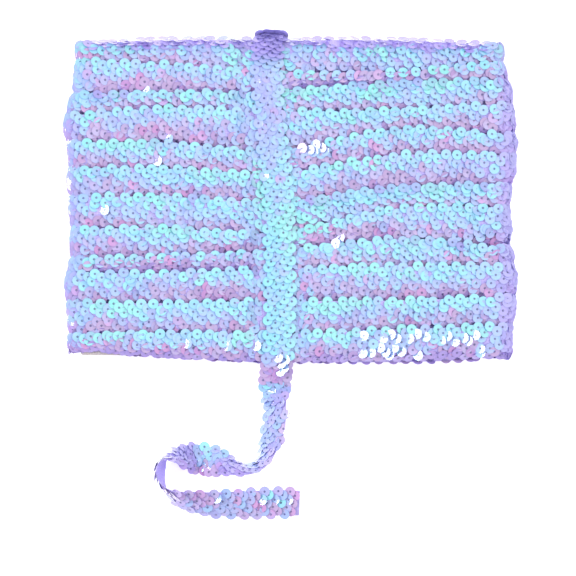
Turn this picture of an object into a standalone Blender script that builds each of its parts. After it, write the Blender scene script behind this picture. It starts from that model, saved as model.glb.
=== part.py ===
"""Sequin trim wound round a flat card, its last length strapped across the middle and curling loose below.

The model is in metres, +Z up. It lies on its back: the front of the card faces up, the card's head is
towards +Y, and the loose end curls on the table past the card's foot. The tables below are in
millimetres from the middle of the wound block, and heights are above the table.
"""

import math
from collections import namedtuple

import bmesh
import bpy
from mathutils import Vector

MM = 0.001

# The trim, edge to edge over its outer sequins
TRIM_WIDTH = 19.4
TRIM_THICKNESS = 2.4
SCALLOP_PITCH = 7.3
SCALLOP_DEPTH = 0.9
STEPS_PER_SCALLOP = 3

# The card
CARD_LEFT = -118.0
CARD_RIGHT = 115.2
CARD_HEAD = 85.0
CARD_FOOT = -88.7
CARD_THICKNESS = 1.6
CARD_CORNER = 1.5

# The wound block
CARD_LEVEL = 7.0
FRONT_HEIGHT = 7.0
BACK_HEIGHT = 7.0
FRONT_FURROW = 2.0
BACK_FURROW = 1.2
EDGE_FURROW = 1.1
FLATTENED_SHARE = 0.5
ROUND_START_LEFT = -112.0
ROUND_START_RIGHT = 108.0
ROUND_SQUARENESS = 2.3
HEAD_ROUNDING = 9.0
HEAD_THINNING = 0.34
FOOT_ROUNDING = 5.0
FOOT_THINNING = 0.45
CLEARANCE = 0.3
STEPS_PER_TURN = 4
STEPS_PER_EDGE = 8
LAST_TURN_SAG = 5.0

# How the strap presses into the turns under it
STRAP_BED_FRONT = 12.2
STRAP_BED_BACK = 2.7
BACK_STRAP_X = -11.0
BED_HALF_WIDTH = 10.3
FRONT_SLOPE = 6.7
BACK_SLOPE = 3.8

# Where the block's cross-section is set out, from left to right. The strap's are counted from its middle
LEFT_COLUMNS = (ROUND_START_LEFT, -97.0, -82.0, -67.0, -52.0, -38.0)
STRAP_COLUMNS = (-17.0, -12.5, -10.3, 0.0, 10.3, 12.5, 17.0)
RIGHT_COLUMNS = (22.0, 36.0, 50.0, 65.0, 80.0, 94.0, ROUND_START_RIGHT)
BACK_LEFT_COLUMNS = (ROUND_START_LEFT, -90.0, -68.0, -46.0)
BACK_STRAP_COLUMNS = (-14.1, -10.3, 0.0, 10.3, 14.1)
BACK_RIGHT_COLUMNS = (22.0, 42.0, 64.0, 86.0, ROUND_START_RIGHT)
STRAP_MEAN_X = -9.5

# Where each turn's upper border crosses the front at five stations, how far the turn stands out at the
# card's two sides, and how much it is pressed down. The last row is the lower border of the last turn.
STATION_X = (-120.7, -73.4, -9.5, 60.0, 118.4)
Turn = namedtuple("Turn", "left mid_left strap mid_right right left_reach right_reach pressed")
TURNS = (
    Turn(86.7, 89.3, 89.0, 89.0, 85.8, 119.8, 117.8, 0.0),
    Turn(77.3, 75.1, 70.1, 70.6, 76.2, 120.6, 118.8, 0.2),
    Turn(58.4, 58.9, 60.0, 65.1, 66.2, 123.4, 122.2, 0.5),
    Turn(46.7, 50.6, 48.9, 49.5, 53.4, 126.6, 124.0, 0.0),
    Turn(31.7, 31.1, 26.7, 38.9, 35.6, 124.0, 125.1, 0.3),
    Turn(16.7, 17.2, 14.5, 24.5, 24.5, 124.5, 124.5, 0.1),
    Turn(1.1, 1.7, -1.1, 6.7, 7.8, 123.4, 121.8, 0.4),
    Turn(-16.7, -16.1, -18.9, -5.0, -4.4, 122.9, 121.8, 0.0),
    Turn(-33.4, -32.2, -28.9, -22.2, -27.2, 123.4, 122.9, 0.9),
    Turn(-41.1, -41.1, -38.9, -37.3, -36.7, 125.7, 125.1, 0.0),
    Turn(-57.8, -57.8, -56.7, -56.2, -53.9, 124.5, 124.5, 0.2),
    Turn(-76.2, -74.5, -75.1, -72.3, -70.1, 124.0, 122.3, 0.1),
    Turn(-85.6, -89.5, -91.7, -91.2, -89.5, 123.6, 121.8, 0.1),
)

# The strap's middle line: up the back, over the head, down the front and off the foot
StrapPoint = namedtuple("StrapPoint", "x y height")
STRAP_BACK = (
    StrapPoint(-11.0, -82.0, 1.2),
    StrapPoint(-11.0, -40.0, 1.2),
    StrapPoint(-11.0, 20.0, 1.2),
    StrapPoint(-11.0, 70.0, 1.2),
    StrapPoint(-11.1, 79.0, 1.2),
)
STRAP_OVER_HEAD = (
    StrapPoint(-11.2, 83.6, 1.25),
    StrapPoint(-11.3, 87.2, 1.8),
    StrapPoint(-11.5, 89.9, 3.7),
    StrapPoint(-11.7, 91.0, 6.5),
    StrapPoint(-11.8, 90.9, 8.9),
    StrapPoint(-12.0, 89.8, 11.0),
    StrapPoint(-12.3, 87.3, 12.8),
    StrapPoint(-12.9, 83.6, 13.7),
)
STRAP_FRONT = (
    StrapPoint(-13.6, 78.0, 13.8),
    StrapPoint(-13.9, 69.0, 13.8),
    StrapPoint(-13.3, 53.4, 13.8),
    StrapPoint(-10.6, 25.6, 13.8),
    StrapPoint(-7.8, -2.2, 13.8),
    StrapPoint(-6.9, -30.0, 13.8),
    StrapPoint(-6.7, -57.8, 13.8),
    StrapPoint(-7.2, -78.0, 13.8),
    StrapPoint(-7.9, -88.0, 13.7),
)
STRAP_OFF_FOOT = (
    StrapPoint(-8.5, -93.5, 12.2),
    StrapPoint(-9.0, -98.5, 8.9),
    StrapPoint(-9.4, -103.5, 5.9),
)

# The loose end on the table. Lean is how far its face tips to the right of its run, in degrees
LoosePoint = namedtuple("LoosePoint", "x y lean")
LOOSE_END = (
    LoosePoint(-9.5, -108.5, 16.0),
    LoosePoint(-9.2, -114.5, 40.0),
    LoosePoint(-9.4, -124.0, 40.0),
    LoosePoint(-11.0, -133.0, 36.0),
    LoosePoint(-13.3, -140.7, 55.0),
    LoosePoint(-15.6, -146.2, 66.0),
    LoosePoint(-19.5, -150.1, 73.0),
    LoosePoint(-25.0, -151.8, 73.0),
    LoosePoint(-32.4, -151.2, 64.0),
    LoosePoint(-39.8, -149.3, 38.0),
    LoosePoint(-47.3, -147.3, 12.0),
    LoosePoint(-53.4, -146.4, 12.0),
    LoosePoint(-59.2, -145.7, 40.0),
    LoosePoint(-65.9, -144.8, 70.0),
    LoosePoint(-70.1, -145.4, 90.0),
    LoosePoint(-73.1, -148.5, 104.0),
    LoosePoint(-74.2, -152.9, 108.0),
    LoosePoint(-73.4, -158.5, 100.0),
    LoosePoint(-70.6, -163.5, 84.0),
    LoosePoint(-65.6, -167.6, 62.0),
    LoosePoint(-58.4, -170.4, 42.0),
    LoosePoint(-49.5, -171.5, 34.0),
    LoosePoint(-38.9, -172.4, 20.0),
    LoosePoint(-25.0, -172.2, 12.0),
    LoosePoint(-10.0, -171.8, 4.0),
    LoosePoint(7.8, -172.1, 3.0),
)

# The trim's cross-section, as shares of its half width and of its thickness
TRIM_SECTION = (
    (-1.0, -0.2),
    (-1.0, 0.2),
    (-0.6, 0.5),
    (0.6, 0.5),
    (1.0, 0.2),
    (1.0, -0.2),
    (0.85, -0.5),
    (-0.85, -0.5),
)

TRIM_COLOUR = (0.60, 0.66, 0.95, 1.0)
CARD_COLOUR = (0.72, 0.68, 0.62, 1.0)


def clear_scene():
    for obj in list(bpy.data.objects):
        bpy.data.objects.remove(obj, do_unlink=True)


def new_collection(name):
    collection = bpy.data.collections.new(name)
    bpy.context.scene.collection.children.link(collection)
    return collection


def new_material(name, colour, roughness, metallic):
    material = bpy.data.materials.new(name)
    material.use_nodes = True
    surface = material.node_tree.nodes["Principled BSDF"]
    surface.inputs["Base Color"].default_value = colour
    surface.inputs["Roughness"].default_value = roughness
    surface.inputs["Metallic"].default_value = metallic
    return material


def mix(a, b, share):
    return a + (b - a) * share


def through(stations, values, at):
    """The height at one place of a smooth curve through values set at rising stations."""
    at = min(max(at, stations[0]), stations[-1])
    index = next(i for i in range(len(stations) - 1) if at <= stations[i + 1])
    before, after = max(index - 1, 0), min(index + 2, len(stations) - 1)
    span = stations[index + 1] - stations[index]
    start_slope = (values[index + 1] - values[before]) / (stations[index + 1] - stations[before])
    end_slope = (values[after] - values[index]) / (stations[after] - stations[index])
    t = (at - stations[index]) / span
    rise = t * t * (3 - 2 * t)
    bend_start = t * (1 - t) ** 2 * span * start_slope
    bend_end = t * t * (t - 1) * span * end_slope
    return mix(values[index], values[index + 1], rise) + bend_start + bend_end


# The wound block. A place along the card's length is a turn number: 3.5 is the middle of the fourth turn.

LAST = len(TURNS) - 1


def between_turns(turn, value):
    """A table value read between two borders."""
    index = min(int(turn), LAST - 1)
    return mix(value(TURNS[index]), value(TURNS[index + 1]), turn - index)


def front_y(turn, x):
    return between_turns(turn, lambda row: through(STATION_X, row[:5], x))


def side_y(turn, side):
    return between_turns(turn, lambda row: getattr(row, side))


def reach_of(turn, side):
    middles = [i + 0.5 for i in range(LAST)]
    return through(middles, [getattr(row, side + "_reach") for row in TURNS[:LAST]], turn)


def furrow(turn):
    """0 along the middle of a turn and 1 in the furrow between two turns."""
    return (2 * (turn % 1.0) - 1) ** 2


def flattened_furrow(turn):
    """The same on the back, where the block's weight has flattened each turn's crest."""
    return max(0.0, furrow(turn) - FLATTENED_SHARE**2) / (1 - FLATTENED_SHARE**2)


def end_share(from_head, from_foot):
    """How much of its full thickness the block keeps near the head and the foot."""
    head = 1 - min(from_head / HEAD_ROUNDING, 1.0)
    foot = 1 - min(from_foot / FOOT_ROUNDING, 1.0)
    head_share = mix(HEAD_THINNING, 1.0, math.sqrt(1 - head * head))
    foot_share = mix(FOOT_THINNING, 1.0, math.sqrt(1 - foot * foot))
    return min(head_share, foot_share)


def strap_x(y):
    """The strap's middle on the front."""
    points = sorted(STRAP_FRONT, key=lambda point: point.y)
    return through([p.y for p in points], [p.x for p in points], y)


def slope_share(distance, slope):
    """0 under the strap, rising to 1 where the turns are back at their own height."""
    t = min(max((abs(distance) - BED_HALF_WIDTH) / slope, 0.0), 1.0)
    return t * t * (3 - 2 * t)


def front_point(turn, x, y):
    pressed = between_turns(turn, lambda row: row.pressed)
    height = FRONT_HEIGHT - pressed - FRONT_FURROW * furrow(turn)
    bed = STRAP_BED_FRONT - CARD_LEVEL
    height = min(height, mix(bed, max(height, bed), slope_share(x - strap_x(y), FRONT_SLOPE)))
    share = end_share(front_y(0, x) - y, y - front_y(LAST, x))
    return Vector((x, y, CARD_LEVEL + height * share))


def back_y(turn, across):
    """across is 0 at the right side of the card and 1 at its left."""
    y = mix(side_y(turn, "right"), side_y(turn, "left"), across)
    sag = LAST_TURN_SAG * max(0.0, turn - (LAST - 1)) * math.sin(math.pi * across) ** 0.5
    return y - sag


def back_point(turn, x, y, across):
    """On the back each turn slopes down from the left side, to become the next turn at the right side."""
    height = BACK_HEIGHT - BACK_FURROW * flattened_furrow(turn + across)
    bed = CARD_LEVEL - STRAP_BED_BACK
    height = min(height, mix(bed, max(height, bed), slope_share(x - BACK_STRAP_X, BACK_SLOPE)))
    share = end_share(back_y(0, across) - y, y - back_y(LAST, across))
    return Vector((x, y, CARD_LEVEL - height * share))


def side_point(turn, side, step):
    """step runs from 0 at the front to 1 at the back."""
    start, sign = (ROUND_START_RIGHT, 1) if side == "right" else (ROUND_START_LEFT, -1)
    y = side_y(turn, side)
    across = 0.0 if side == "right" else 1.0
    top, bottom = front_point(turn, start, y), back_point(turn, start, y, across)
    angle = math.pi * step
    reach = reach_of(turn, side) - EDGE_FURROW * furrow(turn)
    power = 2 / ROUND_SQUARENESS
    out = abs(math.sin(angle)) ** power * (reach - abs(start))
    up = abs(math.cos(angle)) ** power
    far = top.z if step < 0.5 else bottom.z
    return Vector((start + sign * out, y, mix(CARD_LEVEL, far, up)))


def wound_columns():
    """The places round the block, each with a function of the turn and its place beside the card."""
    slot_top = CARD_LEVEL + CARD_THICKNESS / 2 + CLEARANCE
    slot_bottom = CARD_LEVEL - CARD_THICKNESS / 2 - CLEARANCE
    slot_left, slot_right = CARD_LEFT - CLEARANCE, CARD_RIGHT + CLEARANCE
    columns = []

    def add_front(x):
        columns.append((lambda turn: front_point(turn, x, front_y(turn, x)), x, slot_top))

    def add_beside_strap(offset):
        def place(turn):
            x = strap_x(front_y(turn, STRAP_MEAN_X + offset)) + offset
            return front_point(turn, x, front_y(turn, x))

        columns.append((place, STRAP_MEAN_X + offset, slot_top))

    def add_back(x):
        across = (ROUND_START_RIGHT - x) / (ROUND_START_RIGHT - ROUND_START_LEFT)
        columns.append((lambda turn: back_point(turn, x, back_y(turn, across), across), x, slot_bottom))

    def add_side(side, slot_x, forwards):
        for number in range(1, STEPS_PER_EDGE):
            step = number / STEPS_PER_EDGE if forwards else 1 - number / STEPS_PER_EDGE
            slot_z = mix(slot_top, slot_bottom, step)
            columns.append((lambda turn, at=step: side_point(turn, side, at), slot_x, slot_z))

    for x in LEFT_COLUMNS:
        add_front(x)
    for offset in STRAP_COLUMNS:
        add_beside_strap(offset)
    for x in RIGHT_COLUMNS:
        add_front(x)
    add_side("right", slot_right, forwards=True)
    for x in reversed(BACK_RIGHT_COLUMNS):
        add_back(x)
    for offset in reversed(BACK_STRAP_COLUMNS):
        add_back(BACK_STRAP_X + offset)
    for x in reversed(BACK_LEFT_COLUMNS):
        add_back(x)
    add_side("left", slot_left, forwards=False)
    return columns


def loft(name, rings, closed):
    """Skins rings that have the same number of points, round and round where closed, else with capped ends."""
    mesh = bmesh.new()
    rows = [[mesh.verts.new(point * MM) for point in ring] for ring in rings]
    pairs = list(zip(rows, rows[1:]))
    if closed:
        pairs.append((rows[-1], rows[0]))
    else:
        mesh.faces.new(rows[0])
        mesh.faces.new(rows[-1])
    for near, far in pairs:
        for i in range(len(near)):
            j = (i + 1) % len(near)
            mesh.faces.new((near[i], near[j], far[j], far[i]))
    bmesh.ops.recalc_face_normals(mesh, faces=mesh.faces)
    data = bpy.data.meshes.new(name)
    mesh.to_mesh(data)
    mesh.free()
    data.shade_smooth()
    data.set_sharp_from_angle(angle=math.radians(50))
    return bpy.data.objects.new(name, data)


def build_wound_trim():
    columns = wound_columns()
    steps = LAST * STEPS_PER_TURN
    rings = [[place(step / STEPS_PER_TURN) for place, _, _ in columns] for step in range(steps + 1)]

    def slot_ring(turn):
        return [Vector((x, place(turn).y, z)) for place, x, z in columns]

    return loft("wound_trim", rings + [slot_ring(LAST), slot_ring(0)], closed=True)


# The strap and the loose end, one length of trim


def rest_height(lean):
    """How high the trim's middle lies when it leans this far and its lower edge is on the table."""
    lean = math.radians(lean)
    return TRIM_WIDTH / 2 * abs(math.sin(lean)) + TRIM_THICKNESS / 2 * abs(math.cos(lean))


def trim_line():
    """The trim's middle line, as points and how far each leans."""
    strap = STRAP_BACK + STRAP_OVER_HEAD + STRAP_FRONT + STRAP_OFF_FOOT
    points = [(Vector((p.x, p.y, p.height)), 0.0) for p in strap]
    points += [(Vector((p.x, p.y, rest_height(p.lean))), p.lean) for p in LOOSE_END]
    return points


def evenly_spaced(points, step):
    """Places along a smooth curve through the points: where it is, where it heads, its lean and its distance."""
    distances = [0.0]
    for (a, _), (b, _) in zip(points, points[1:]):
        distances.append(distances[-1] + (b - a).length)
    count = round(distances[-1] / step)
    tracks = [[point[axis] for point, _ in points] for axis in range(3)]
    leans = [lean for _, lean in points]
    places = []
    for number in range(count + 1):
        along = distances[-1] * number / count
        here, ahead = (
            Vector([through(distances, track, min(max(d, 0.0), distances[-1])) for track in tracks])
            for d in (along - 0.4, along + 0.4)
        )
        middle = Vector([through(distances, track, along) for track in tracks])
        places.append((middle, (ahead - here).normalized(), through(distances, leans, along), along))
    return places


def trim_frame(heading, lean, on_table):
    """The trim's sideways direction and the direction its sequins face."""
    if on_table:
        right = Vector((heading.y, -heading.x, 0)).normalized()
        lean = math.radians(lean)
        sideways = right * math.cos(lean) - Vector((0, 0, 1)) * math.sin(lean)
    else:
        sideways = Vector((-1, 0, 0))
    sideways = (sideways - heading * sideways.dot(heading)).normalized()
    return sideways, sideways.cross(heading)


def build_loose_end():
    """The strap round the block and the curl on the table, as one length of trim with scalloped edges."""
    places = evenly_spaced(trim_line(), SCALLOP_PITCH / STEPS_PER_SCALLOP)
    foot = STRAP_OFF_FOOT[0].y
    touchdown = LOOSE_END[0].y
    rings = []
    for middle, heading, lean, along in places:
        sideways, face = trim_frame(heading, lean, middle.y < foot)
        notch = 1 - abs(math.cos(math.pi * along / SCALLOP_PITCH))
        half = TRIM_WIDTH / 2 - SCALLOP_DEPTH * notch
        ring = [middle + sideways * half * s + face * TRIM_THICKNESS * t for s, t in TRIM_SECTION]
        lowest = min(point.z for point in ring)
        drop = lowest if middle.y < touchdown else min(lowest, 0.0)
        rings.append([point - Vector((0, 0, drop)) for point in ring])
    return loft("loose_end", rings, closed=False)


def build_card():
    size = Vector((CARD_RIGHT - CARD_LEFT, CARD_HEAD - CARD_FOOT, CARD_THICKNESS)) * MM
    middle = Vector((CARD_LEFT + CARD_RIGHT, CARD_HEAD + CARD_FOOT, 2 * CARD_LEVEL)) / 2 * MM
    mesh = bmesh.new()
    bmesh.ops.create_cube(mesh, size=1.0)
    for vert in mesh.verts:
        vert.co = Vector([c * s for c, s in zip(vert.co, size)]) + middle
    upright = [e for e in mesh.edges if abs(e.verts[0].co.z - e.verts[1].co.z) > size.z / 2]
    bmesh.ops.bevel(mesh, geom=upright, offset=CARD_CORNER * MM, segments=3, profile=0.5, affect="EDGES")
    data = bpy.data.meshes.new("card")
    mesh.to_mesh(data)
    mesh.free()
    return bpy.data.objects.new("card", data)


def stand_on_origin(objects):
    """Moves the meshes so that the origin is under the middle of the whole, on the table."""
    corners = [vert.co for obj in objects for vert in obj.data.vertices]
    low = Vector([min(corner[axis] for corner in corners) for axis in range(3)])
    high = Vector([max(corner[axis] for corner in corners) for axis in range(3)])
    shift = Vector((-(low.x + high.x) / 2, -(low.y + high.y) / 2, -low.z))
    for obj in objects:
        for vert in obj.data.vertices:
            vert.co += shift


def main():
    clear_scene()
    collection = new_collection("sequin_trim_on_card")
    trim_material = new_material("sequin_trim", TRIM_COLOUR, 0.3, 0.2)
    card_material = new_material("greyboard", CARD_COLOUR, 0.9, 0.0)
    card = build_card()
    wound = build_wound_trim()
    loose = build_loose_end()
    card.data.materials.append(card_material)
    wound.data.materials.append(trim_material)
    loose.data.materials.append(trim_material)
    pieces = (card, wound, loose)
    stand_on_origin(pieces)
    for obj in pieces:
        collection.objects.link(obj)


main()
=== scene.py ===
"""The looks of a sequin trim wound on a card: its knitted tape, every sequin and every stitch.

Lengths in the tables are in millimetres from the middle of the wound block, as the part's source has
them, and heights are above the table. Everything that is made goes into the frame in metres.
"""

import math
import random
from collections import namedtuple

import bmesh
import bpy
import numpy as np
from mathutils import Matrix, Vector


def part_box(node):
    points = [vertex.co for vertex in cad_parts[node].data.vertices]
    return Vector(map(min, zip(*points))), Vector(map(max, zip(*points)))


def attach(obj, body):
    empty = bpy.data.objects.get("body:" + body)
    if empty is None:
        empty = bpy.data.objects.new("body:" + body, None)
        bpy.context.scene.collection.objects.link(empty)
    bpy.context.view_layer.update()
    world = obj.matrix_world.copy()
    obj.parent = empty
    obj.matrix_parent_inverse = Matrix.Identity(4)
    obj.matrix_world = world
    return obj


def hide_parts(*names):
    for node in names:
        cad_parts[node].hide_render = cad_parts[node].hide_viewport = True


bl_info = {
    "name": "Sequin Trim on a Card",
    "version": (1, 0, 0),
    "blender": (4, 5, 0),
    "location": "3D View > Sidebar > Sequin Trim",
    "description": "Makes the tape, sequins and stitches of a trim wound on a card",
    "category": "Object",
}

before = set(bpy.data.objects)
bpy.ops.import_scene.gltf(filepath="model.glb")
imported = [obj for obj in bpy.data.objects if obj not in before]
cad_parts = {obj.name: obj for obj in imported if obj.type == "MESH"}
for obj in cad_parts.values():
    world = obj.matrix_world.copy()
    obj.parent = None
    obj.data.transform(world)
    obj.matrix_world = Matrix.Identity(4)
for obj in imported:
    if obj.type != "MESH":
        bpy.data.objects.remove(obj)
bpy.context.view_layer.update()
MM = 0.001

# The wound block, as the part's source has it
CARD_MIDDLE_X = -1.4
CARD_MIDDLE_Y = -1.85
CARD_LEVEL = 7.0
FRONT_HEIGHT = 7.0
BACK_HEIGHT = 7.0
EDGE_FURROW = 1.1
ROUND_START_LEFT = -112.0
ROUND_START_RIGHT = 108.0
ROUND_SQUARENESS = 2.3
HEAD_ROUNDING = 9.0
HEAD_THINNING = 0.34
FOOT_ROUNDING = 5.0
FOOT_THINNING = 0.45
STRAP_BED_FRONT = 12.2
STRAP_BED_BACK = 2.7
BACK_STRAP_X = -11.0
BED_HALF_WIDTH = 10.3
FRONT_SLOPE = 6.7
BACK_SLOPE = 3.8
LAST_TURN_SAG = 5.0
TRIM_WIDTH = 19.4
TRIM_THICKNESS = 2.4

# How each turn is crowned: where its crest is, and how far its two borders fall below it
CREST_SHARE = 0.38
UPPER_FALL = 0.8
LOWER_FALL = 2.1
BACK_UPPER_FALL = 0.5
BACK_LOWER_FALL = 1.8

# What the sequins' raised edges need between the tape and the table
BACK_ROOM = 0.9
# How much deeper a stretch of tape lies where another turn covers it on the back
UNDER_LAYER = 1.5

# A turn's run: right to left over the front, round the left side, back behind the card, round the right
FRONT_RUN = ROUND_START_RIGHT - ROUND_START_LEFT
SIDE_RUN = 40.0
LEFT_START = FRONT_RUN
BACK_START = LEFT_START + SIDE_RUN
RIGHT_START = BACK_START + FRONT_RUN
TURN_RUN = RIGHT_START + SIDE_RUN

STATION_X = (-120.7, -73.4, -9.5, 60.0, 118.4)
Turn = namedtuple("Turn", "left mid_left strap mid_right right left_reach right_reach pressed")
TURNS = (
    Turn(86.7, 89.3, 89.0, 89.0, 85.8, 119.8, 117.8, 0.0),
    Turn(77.3, 75.1, 70.1, 70.6, 76.2, 120.6, 118.8, 0.2),
    Turn(58.4, 58.9, 60.0, 65.1, 66.2, 123.4, 122.2, 0.5),
    Turn(46.7, 50.6, 48.9, 49.5, 53.4, 126.6, 124.0, 0.0),
    Turn(31.7, 31.1, 26.7, 38.9, 35.6, 124.0, 125.1, 0.3),
    Turn(16.7, 17.2, 14.5, 24.5, 24.5, 124.5, 124.5, 0.1),
    Turn(1.1, 1.7, -1.1, 6.7, 7.8, 123.4, 121.8, 0.4),
    Turn(-16.7, -16.1, -18.9, -5.0, -4.4, 122.9, 121.8, 0.0),
    Turn(-33.4, -32.2, -28.9, -22.2, -27.2, 123.4, 122.9, 0.9),
    Turn(-41.1, -41.1, -38.9, -37.3, -36.7, 125.7, 125.1, 0.0),
    Turn(-57.8, -57.8, -56.7, -56.2, -53.9, 124.5, 124.5, 0.2),
    Turn(-76.2, -74.5, -75.1, -72.3, -70.1, 124.0, 122.3, 0.1),
    Turn(-85.6, -89.5, -91.7, -91.2, -89.5, 123.6, 121.8, 0.1),
)
LAST = len(TURNS) - 1

# How far each turn's sequins tip towards the card's head, in degrees, at four places along its front
TIP_X = (-110.0, -45.0, 30.0, 105.0)
Tip = namedtuple("Tip", "left mid_left mid_right right")
TIPS = (
    Tip(6.0, 4.0, 6.0, 10.0),
    Tip(-3.0, -5.0, -6.0, 8.0),
    Tip(5.0, 2.0, 3.0, 4.0),
    Tip(-2.0, -6.0, 2.0, -3.0),
    Tip(-3.0, 0.0, -4.0, 2.0),
    Tip(0.0, 3.0, -5.0, -2.0),
    Tip(-3.0, 3.0, 8.0, 8.0),
    Tip(-2.0, 3.0, -4.0, 5.0),
    Tip(-10.0, -10.0, 0.0, 6.0),
    Tip(2.0, -5.0, -3.0, -2.0),
    Tip(-1.0, 0.0, -2.0, 0.0),
    Tip(-6.0, 0.0, -3.0, -8.0),
)

# The strap's middle line: up the back, over the head, down the front and off the foot
StrapPoint = namedtuple("StrapPoint", "x y height")
STRAP_BACK = (
    StrapPoint(-11.0, -82.0, 1.2),
    StrapPoint(-11.0, -40.0, 1.2),
    StrapPoint(-11.0, 20.0, 1.2),
    StrapPoint(-11.0, 70.0, 1.2),
    StrapPoint(-11.1, 79.0, 1.2),
)
STRAP_OVER_HEAD = (
    StrapPoint(-11.2, 83.6, 1.25),
    StrapPoint(-11.3, 87.2, 1.8),
    StrapPoint(-11.5, 89.9, 3.7),
    StrapPoint(-11.7, 91.0, 6.5),
    StrapPoint(-11.8, 90.9, 8.9),
    StrapPoint(-12.0, 89.8, 11.0),
    StrapPoint(-12.3, 87.3, 12.8),
    StrapPoint(-12.9, 83.6, 13.7),
)
STRAP_FRONT = (
    StrapPoint(-13.6, 78.0, 13.8),
    StrapPoint(-13.9, 69.0, 13.8),
    StrapPoint(-13.3, 53.4, 13.8),
    StrapPoint(-10.6, 25.6, 13.8),
    StrapPoint(-7.8, -2.2, 13.8),
    StrapPoint(-6.9, -30.0, 13.8),
    StrapPoint(-6.7, -57.8, 13.8),
    StrapPoint(-7.2, -78.0, 13.8),
    StrapPoint(-7.9, -88.0, 13.7),
)
STRAP_OFF_FOOT = (
    StrapPoint(-8.5, -93.5, 12.2),
    StrapPoint(-9.0, -98.5, 8.9),
    StrapPoint(-9.4, -103.5, 5.9),
)

# The loose end on the table. Lean is how far its face tips to the right of its run, in degrees
LoosePoint = namedtuple("LoosePoint", "x y lean")
LOOSE_END = (
    LoosePoint(-9.5, -108.5, 16.0),
    LoosePoint(-9.2, -114.5, 40.0),
    LoosePoint(-9.4, -124.0, 40.0),
    LoosePoint(-11.0, -133.0, 36.0),
    LoosePoint(-13.3, -140.7, 55.0),
    LoosePoint(-15.6, -146.2, 66.0),
    LoosePoint(-19.5, -150.1, 73.0),
    LoosePoint(-25.0, -151.8, 73.0),
    LoosePoint(-32.4, -151.2, 64.0),
    LoosePoint(-39.8, -149.3, 38.0),
    LoosePoint(-47.3, -147.3, 12.0),
    LoosePoint(-53.4, -146.4, 12.0),
    LoosePoint(-59.2, -145.7, 40.0),
    LoosePoint(-65.9, -144.8, 70.0),
    LoosePoint(-70.1, -145.4, 90.0),
    LoosePoint(-73.1, -148.5, 104.0),
    LoosePoint(-74.2, -152.9, 108.0),
    LoosePoint(-73.4, -158.5, 100.0),
    LoosePoint(-70.6, -163.5, 84.0),
    LoosePoint(-65.6, -167.6, 62.0),
    LoosePoint(-58.4, -170.4, 42.0),
    LoosePoint(-49.5, -171.5, 34.0),
    LoosePoint(-38.9, -172.4, 20.0),
    LoosePoint(-25.0, -172.2, 12.0),
    LoosePoint(-10.0, -171.8, 4.0),
    LoosePoint(7.8, -172.1, 3.0),
)

# The trim: seven lines of sequins, where each runs across the tape and how far its sequins are set back
Line = namedtuple("Line", "across setback")
LINES = (
    Line(-6.6, 0.0),
    Line(-4.4, 3.7),
    Line(-2.2, 1.5),
    Line(0.0, 5.2),
    Line(2.2, 2.6),
    Line(4.4, 6.3),
    Line(6.6, 4.0),
)
LINE_SPREAD = LINES[-1].across - LINES[0].across
# Lines of the layer underneath, seen only where a turn's stripe is wider than the trim
INNER_LINES = (
    Line(8.6, 0.3),
    Line(10.6, 4.0),
    Line(12.6, 1.8),
    Line(14.6, 5.5),
    Line(16.6, 3.3),
)
# How much lower that layer's sequins and tape lie, and how far across its tape is shifted
INNER_DEPTH = 1.0
INNER_TAPE_DEPTH = 2.2
INNER_TAPE_ACROSS = 8.5
# How the lines share a stripe: the room at its two borders, and how far they draw in or spread
FIRST_LINE = 2.2
LAST_LINE_ROOM = 0.6
ROOM_AT_FOOT = 2.6
LEAST_SPREAD = 0.72
LEAST_SPREAD_AT_FOOT = 0.42
MOST_SPREAD = 1.08
TAPE_DEPTH = 0.8
# What the strap hides each side of its middle, and what the next turn hides of a stripe
HIDDEN_BY_STRAP = 7.5
HIDDEN_SHARE = 1.1
# What a tipped sequin needs above the table
SEQUIN_REACH = 3.0
SEQUIN_HEEL = 0.3
# Over the strap and the loose end the sequins' middles rise to a crown: its height and its roundness
SEWN_ABOVE = 0.8
CROWN = 60.0
SEED = 11

# Where the trim bends round an edge its sequins fan out, in degrees, and stand this much closer
LEFT_FAN = 14.0
RIGHT_FAN = -19.0
FAN_EASE = 8.0
CROWDING = 0.62
CROWDED_AFTER = 9.0
# Where the block's painted reflection turns lilac towards its edges, as the tipped film's sheen does there:
# from and to, from the block's middle
RIGHT_LILAC = (112.0, 119.0)
LEFT_LILAC = (114.0, 124.0)
HEAD_LILAC = (80.0, 87.0)
# How far the sequins nearest the head tip over it, in degrees
HEAD_TILT = 26.0
# Where the card's corner shows at the foot, so that no sequins stand there
CORNER_SHOWS = -72.0
# The sequins that stand along the head and the foot: pitch, height from the card, and how far in
BORDER_PITCH = 6.6
BORDER_HEIGHT = 2.2
BORDER_INSET_FRONT = 0.9
BORDER_INSET_BACK = 2.6
# Each line of a turn leans a little its own way, in long waves
WAVE_TILT = 4.5
WAVE_LENGTHS = (50.0, 110.0)

# The strap and loose end: how much more each place raises its sequins' leading edges, in degrees
LooseTip = namedtuple("LooseTip", "y tip")
LOOSE_TIPS = (
    LooseTip(-175.0, 0.0),
    LooseTip(-95.0, -2.0),
    LooseTip(-50.0, 0.0),
    LooseTip(0.0, -3.0),
    LooseTip(50.0, -8.0),
    LooseTip(68.0, -6.0),
    LooseTip(80.0, 16.0),
    LooseTip(92.0, 18.0),
)
# How far the painted reflection colour goes from blue to mauve over the width of the loose end
LOOSE_BLUSH = 0.036
# How lilac the strap's painted reflection is, at heights up the card
STRAP_LILAC = ((-90.0, -20.0, 20.0, 55.0, 72.0, 80.0, 92.0), (0.0, 0.05, 0.15, 0.40, 0.50, 0.95, 1.0))
# Past this height up the card the strap's sequins crowd, and wherever it runs this steeply
STRAP_CROWDS = 75.0
STEEP_HEADING = 0.25
# What turns a sequin's colour, a painted iridescent reflection with a random tone of its own: how far it
# faces the head and the right, and its own tone
LEAN_BY_HEAD = 1.15
LEAN_BY_RIGHT = 0.14
LEAN_BY_TONE = 0.045

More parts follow.
